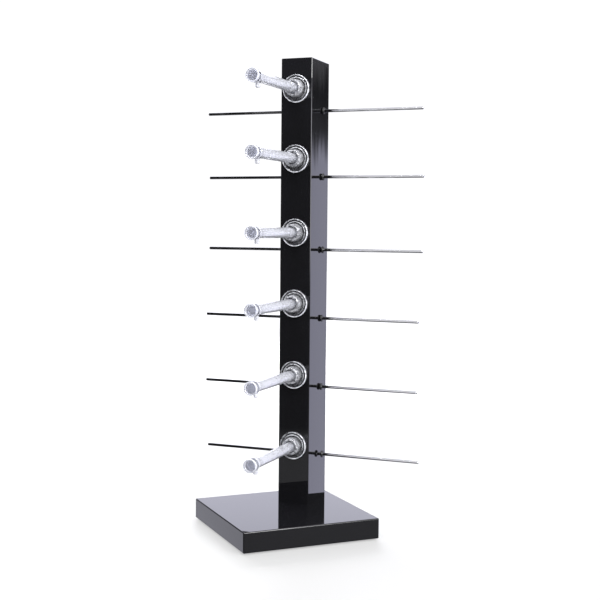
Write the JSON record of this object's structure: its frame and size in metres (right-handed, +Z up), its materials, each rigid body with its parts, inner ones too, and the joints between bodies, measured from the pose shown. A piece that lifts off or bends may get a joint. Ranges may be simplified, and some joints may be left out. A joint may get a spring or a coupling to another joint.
{
  "type": "eyewear display stand",
  "caption": "Gloss black countertop stand with a column of clear pegs at the front and thin steel cross rods that carry the temples of glasses.",
  "frame": {"origin": "middle of the base pad's underside, on the surface the stand rests on", "axes": "+Z up the column; -Y is the front, the way the pegs point, over one corner of the base; X along the cross rods, +X to the right seen from the front"},
  "size_m": [0.2385, 0.1982, 0.4715],
  "materials": {
    "black_acrylic": "polished gloss black acrylic",
    "clear_plastic": "clear moulded",
    "polished_steel": "polished",
    "zinc_steel": "bright zinc",
    "black_rubber": "matte",
    "pad_foam": "closed-cell foam sheet"
  },
  "bodies": {
    "stand": {"base_pad": "pad_foam", "base_block": "black_acrylic", "base_screw_front": "zinc_steel", "base_screw_back": "zinc_steel", "column_foot_plug": "black_acrylic", "column_front_panel": "black_acrylic", "column_back_panel": "black_acrylic", "column_left_panel": "black_acrylic", "column_right_panel": "black_acrylic", "column_cap": "black_acrylic", "peg_flange_1": "clear_plastic", "peg_tube_1": "clear_plastic", "peg_tip_1": "clear_plastic", "peg_screw_1": "zinc_steel", "peg_flange_2": "clear_plastic", "peg_tube_2": "clear_plastic", "peg_tip_2": "clear_plastic", "peg_screw_2": "zinc_steel", "peg_flange_3": "clear_plastic", "peg_tube_3": "clear_plastic", "peg_tip_3": "clear_plastic", "peg_screw_3": "zinc_steel", "peg_flange_4": "clear_plastic", "peg_tube_4": "clear_plastic", "peg_tip_4": "clear_plastic", "peg_screw_4": "zinc_steel", "peg_flange_5": "clear_plastic", "peg_tube_5": "clear_plastic", "peg_tip_5": "clear_plastic", "peg_screw_5": "zinc_steel", "peg_flange_6": "clear_plastic", "peg_tube_6": "clear_plastic", "peg_tip_6": "clear_plastic", "peg_screw_6": "zinc_steel"},
    "rod_set_1": {"temple_rod_1": "polished_steel", "ring_left_1": "black_rubber", "ring_right_1": "black_rubber"},
    "rod_set_2": {"temple_rod_2": "polished_steel", "ring_left_2": "black_rubber", "ring_right_2": "black_rubber"},
    "rod_set_3": {"temple_rod_3": "polished_steel", "ring_left_3": "black_rubber", "ring_right_3": "black_rubber"},
    "rod_set_4": {"temple_rod_4": "polished_steel", "ring_left_4": "black_rubber", "ring_right_4": "black_rubber"},
    "rod_set_5": {"temple_rod_5": "polished_steel", "ring_left_5": "black_rubber", "ring_right_5": "black_rubber"},
    "rod_set_6": {"temple_rod_6": "polished_steel", "ring_left_6": "black_rubber", "ring_right_6": "black_rubber"}
  },
  "joints": [
    {"name": "rod_1_slide", "type": "slide", "parent": "stand", "child": "rod_set_1", "axis": [1, 0, 0], "range_m": [-0.0002, 0.0027]},
    {"name": "rod_2_slide", "type": "slide", "parent": "stand", "child": "rod_set_2", "axis": [1, 0, 0], "range_m": [-0.0002, 0.0027]},
    {"name": "rod_3_slide", "type": "slide", "parent": "stand", "child": "rod_set_3", "axis": [1, 0, 0], "range_m": [-0.0007, 0.0022]},
    {"name": "rod_4_slide", "type": "slide", "parent": "stand", "child": "rod_set_4", "axis": [1, 0, 0], "range_m": [-0.0002, 0.0027]},
    {"name": "rod_5_slide", "type": "slide", "parent": "stand", "child": "rod_set_5", "axis": [1, 0, 0], "range_m": [-0.00045, 0.00245]},
    {"name": "rod_6_slide", "type": "slide", "parent": "stand", "child": "rod_set_6", "axis": [1, 0, 0], "range_m": [-0.0022, 0.0007]}
  ]
}
